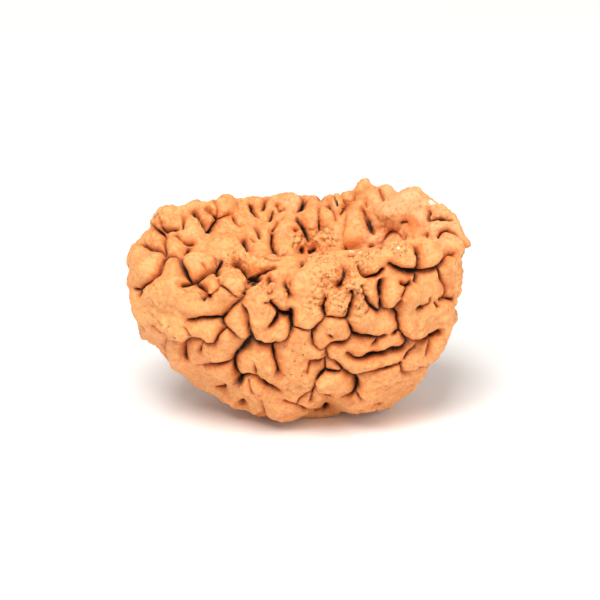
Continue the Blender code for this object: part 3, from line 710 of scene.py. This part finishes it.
def thinTriangles(piece):
    thinning = piece.modifiers.new("fewerTriangles", "DECIMATE")
    thinning.ratio = min(1, bead["triangles"] / len(piece.data.polygons))
    bpy.context.view_layer.objects.active = piece
    bpy.ops.object.modifier_apply(modifier="fewerTriangles")


# Press the lowest lobes flat on the ground; gives back how far the bead was moved
def setOnGround(mesh):
    points = readPoints(mesh)
    low = points.min(axis=0)
    high = points.max(axis=0)
    move = np.array(((low[0] + high[0]) / 2, (low[1] + high[1]) / 2, low[2] + bead["flatSpotRise"]))
    points -= move
    points[:, 2] = np.maximum(points[:, 2], 0)
    writePoints(mesh, points)
    return Vector(move)


# The finish of the stone. Wavelengths are in metres, colours are linear.
stone = {
    "tan": (0.74, 0.29, 0.085),
    "orange": (0.70, 0.21, 0.050),
    # painted highlight on the lobe crests, and also the colour of pale grain specks
    "crestHighlightAndPaleGrain": (0.82, 0.395, 0.135),
    # painted shade: saturated dark orange on the slopes beside the furrows
    "furrowEdgeShade": (0.50, 0.13, 0.03),
    # painted shade: near-black brown in the furrow slits
    "slitShade": (0.040, 0.014, 0.006),
    # dark specks of the grit, and painted shade in tiny pores
    "speckAndPitShade": (0.16, 0.06, 0.025),
    "palePink": (0.84, 0.43, 0.20),
    "glow": (0.80, 0.22, 0.04),
    "flakes": (0.93, 0.86, 0.70),
    "smudges": (0.22, 0.17, 0.09),
    "fibres": (0.33, 0.25, 0.16),
    "patchLength": 3.0 * mm,
    "mottleLength": 0.8 * mm,
    "grainLength": 0.28 * mm,
    "poreLength": 0.55 * mm,
    "glowStrength": 0.7,
    "bumpHeight": 0.12 * mm,
}

# Ramps of the finish: where each starts and ends, and how strong its tint is there
ramps = {
    "tanPatches": (0.38, 0.64, 0, 1),
    # painted highlight on the crests
    "highlightOnCrests": (0.45, 1.0, 0, 1),
    "crestMottle": (0.35, 0.62, 0.15, 0.9),
    "rimMottle": (0.3, 0.6, 0.3, 0.75),
    "orangeGrain": (0.52, 0.64, 0, 0.75),
    "paleGrain": (0.47, 0.37, 0, 0.6),
    # painted shade beside the furrows, on the slopes and round the slits
    "edgeShadeOnSlopes": (0.40, 0.0, 0, 0.55),
    "edgeShadeAtSlits": (0.01, 0.35, 0, 0.8),
    # painted shade in the pores
    "pores": (0.10, 0.17, 0.85, 0),
    "grit": (0.52, 0.64, 0, 0.8),
    # painted slit shade
    "slitShade": (0.25, 0.80, 0, 1),
    "fibreGrain": (0.50, 0.58, 0, 0.7),
    "fibreDepth": (0.02, 0.4, 0, 1),
    "frayedEdge": (0.35, 0.65, -0.35, 0.25),
    "spots": (0.45, 0.65, 0, 0.85),
    "roughness": (0.3, 0.7, 0.48, 0.68),
}


class Nodes:
    def __init__(self, material):
        material.use_nodes = True
        self.tree = material.node_tree
        self.surface = self.tree.nodes["Principled BSDF"]
        self.place = self.tree.nodes.new("ShaderNodeTexCoord").outputs["Object"]

    def link(self, value, socket):
        if isinstance(value, bpy.types.NodeSocket):
            self.tree.links.new(value, socket)
        elif socket.type == "RGBA":
            socket.default_value = (*value, 1)
        else:
            socket.default_value = value

    def mottling(self, wavelength, detail=3, roughness=0.55, distortion=0):
        node = self.tree.nodes.new("ShaderNodeTexNoise")
        self.link(self.place, node.inputs["Vector"])
        node.inputs["Scale"].default_value = 1 / wavelength
        node.inputs["Detail"].default_value = detail
        node.inputs["Roughness"].default_value = roughness
        node.inputs["Distortion"].default_value = distortion
        return node.outputs["Fac"]

    def cells(self, wavelength):
        node = self.tree.nodes.new("ShaderNodeTexVoronoi")
        self.link(self.place, node.inputs["Vector"])
        node.inputs["Scale"].default_value = 1 / wavelength
        return node.outputs["Distance"]

    def share(self, name):
        node = self.tree.nodes.new("ShaderNodeAttribute")
        node.attribute_name = name
        return node.outputs["Fac"]

    def ramp(self, value, name):
        node = self.tree.nodes.new("ShaderNodeMapRange")
        node.interpolation_type = "SMOOTHSTEP"
        self.link(value, node.inputs["Value"])
        for socket, number in zip(("From Min", "From Max", "To Min", "To Max"), ramps[name]):
            node.inputs[socket].default_value = number
        return node.outputs["Result"]

    def maths(self, operation, first, second=0.5):
        node = self.tree.nodes.new("ShaderNodeMath")
        node.operation = operation
        self.link(first, node.inputs[0])
        self.link(second, node.inputs[1])
        return node.outputs["Value"]

    def mix(self, share, first, second):
        node = self.tree.nodes.new("ShaderNodeMix")
        node.data_type = "RGBA"
        self.link(share, node.inputs["Factor"])
        self.link(first, node.inputs["A"])
        self.link(second, node.inputs["B"])
        return node.outputs["Result"]

    def bump(self, height, distance):
        node = self.tree.nodes.new("ShaderNodeBump")
        self.link(height, node.inputs["Height"])
        node.inputs["Distance"].default_value = distance
        self.link(node.outputs["Normal"], self.surface.inputs["Normal"])


def makeStone():
    material = bpy.data.materials.new("beadStone")
    net = Nodes(material)
    crest = net.share("crest")
    slitShade = net.share("slitShade")
    patch = net.mottling(stone["patchLength"])
    mottle = net.mottling(stone["mottleLength"], detail=5, roughness=0.6, distortion=0.4)
    grain = net.mottling(stone["grainLength"], detail=4, roughness=0.65)

    colour = net.mix(net.ramp(patch, "tanPatches"), stone["orange"], stone["tan"])
    # painted highlight: the crests are paler, broken up by mottling
    share = net.maths("MULTIPLY", net.ramp(crest, "highlightOnCrests"), net.ramp(mottle, "crestMottle"))
    colour = net.mix(share, colour, stone["crestHighlightAndPaleGrain"])
    share = net.maths("MULTIPLY", net.share("paleRim"), net.ramp(mottle, "rimMottle"))
    colour = net.mix(share, colour, stone["palePink"])
    colour = net.mix(net.ramp(grain, "orangeGrain"), colour, stone["orange"])
    # pale grain specks, in the same colour as the painted crest highlight
    colour = net.mix(net.ramp(grain, "paleGrain"), colour, stone["crestHighlightAndPaleGrain"])
    share = net.maths("MULTIPLY", net.share("glow"), stone["glowStrength"])
    colour = net.mix(share, colour, stone["glow"])
    # painted shade on the slopes down into the furrows and round their slits
    colour = net.mix(net.ramp(crest, "edgeShadeOnSlopes"), colour, stone["furrowEdgeShade"])
    colour = net.mix(net.ramp(slitShade, "edgeShadeAtSlits"), colour, stone["furrowEdgeShade"])
    # painted shade: dark dots in tiny pores, which the bump also dents
    pores = net.maths("MULTIPLY", net.share("pores"), net.ramp(net.cells(stone["poreLength"]), "pores"))
    colour = net.mix(pores, colour, stone["speckAndPitShade"])
    share = net.maths("MULTIPLY", net.share("grit"), net.ramp(grain, "grit"))
    colour = net.mix(share, colour, stone["speckAndPitShade"])
    # painted shade darkens the slits
    colour = net.mix(net.ramp(slitShade, "slitShade"), colour, stone["slitShade"])
    share = net.maths("MULTIPLY", net.share("fibres"), net.ramp(grain, "fibreGrain"))
    share = net.maths("MULTIPLY", share, net.ramp(slitShade, "fibreDepth"))
    colour = net.mix(share, colour, stone["fibres"])
    for name in ("flakes", "smudges"):
        edge = net.maths("ADD", net.share(name), net.ramp(grain, "frayedEdge"))
        colour = net.mix(net.ramp(edge, "spots"), colour, stone[name])
    net.link(colour, net.surface.inputs["Base Color"])

    net.link(net.ramp(mottle, "roughness"), net.surface.inputs["Roughness"])
    height = net.maths("ADD", net.maths("MULTIPLY", mottle, 0.5), net.maths("MULTIPLY", grain, 0.5))
    height = net.maths("SUBTRACT", height, pores)
    net.bump(height, stone["bumpHeight"])
    return material


def makeBead():
    divisions = bead["sphereDivisions"]
    bpy.ops.mesh.primitive_ico_sphere_add(subdivisions=divisions, radius=1)
    piece = bpy.context.object
    piece.name = "furrowedBead"
    shapeBead(piece.data)
    thinTriangles(piece)
    print("bead shaped, triangles:", len(piece.data.polygons))
    move = setOnGround(piece.data)
    piece.data.polygons.foreach_set("use_smooth", [True] * len(piece.data.polygons))
    piece.data.materials.clear()
    piece.data.materials.append(makeStone())
    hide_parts("bead")
    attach(piece, "root")
    return move


studio = {
    "floorSize": 3.0,
    "floorColour": (0.93, 0.92, 0.90),
    "floorRoughness": 0.9,
    "daylight": 0.49,
    "daylightColour": (1, 0.985, 0.96),
    "lamps": [  # name, place, size, power
        ("overheadLamp", (-0.05, -0.14, 0.29), 0.17, 1.12),
        ("sideLamp", (0.26, -0.12, 0.14), 0.20, 0.28),
    ],
}


def makeStudio():
    bpy.ops.mesh.primitive_plane_add(size=studio["floorSize"])
    floor = bpy.context.object
    floor.name = "studioFloor"
    material = bpy.data.materials.new("palePaper")
    material.use_nodes = True
    paper = material.node_tree.nodes["Principled BSDF"]
    paper.inputs["Base Color"].default_value = (*studio["floorColour"], 1)
    paper.inputs["Roughness"].default_value = studio["floorRoughness"]
    floor.data.materials.append(material)

    scene = bpy.context.scene
    scene.world = bpy.data.worlds.new("studioDaylight")
    scene.world.use_nodes = True
    sky = scene.world.node_tree.nodes["Background"]
    sky.inputs["Color"].default_value = (*studio["daylightColour"], 1)
    sky.inputs["Strength"].default_value = studio["daylight"]
    for name, place, size, power in studio["lamps"]:
        light = bpy.data.lights.new(name, "AREA")
        light.size = size
        light.energy = power
        lamp = bpy.data.objects.new(name, light)
        lamp.location = place
        lamp.rotation_euler = (-Vector(place)).to_track_quat("-Z", "Y").to_euler()
        scene.collection.objects.link(lamp)
    scene.view_settings.view_transform = "Standard"


photoCamera = {"sensorWidth": 36, "nearest": 10 * mm}


# The camera stands where the drawing grid's eye is, and shows the whole grid
def makeCamera(move):
    middlePoint, eye = gridPoint(*grid["centre"])
    lens = bpy.data.cameras.new("photoCamera")
    lens.sensor_width = photoCamera["sensorWidth"]
    lens.lens = lens.sensor_width * grid["eyeDistance"] / (grid["squaresWide"] * grid["square"])
    lens.clip_start = photoCamera["nearest"]
    lens.dof.use_dof = False
    camera = bpy.data.objects.new("photoCamera", lens)
    camera.location = eye - move
    camera.rotation_euler = (middlePoint - eye).to_track_quat("-Z", "Y").to_euler()
    bpy.context.scene.collection.objects.link(camera)
    bpy.context.scene.camera = camera


move = makeBead()
makeStudio()
makeCamera(move)
print("studio and camera made")
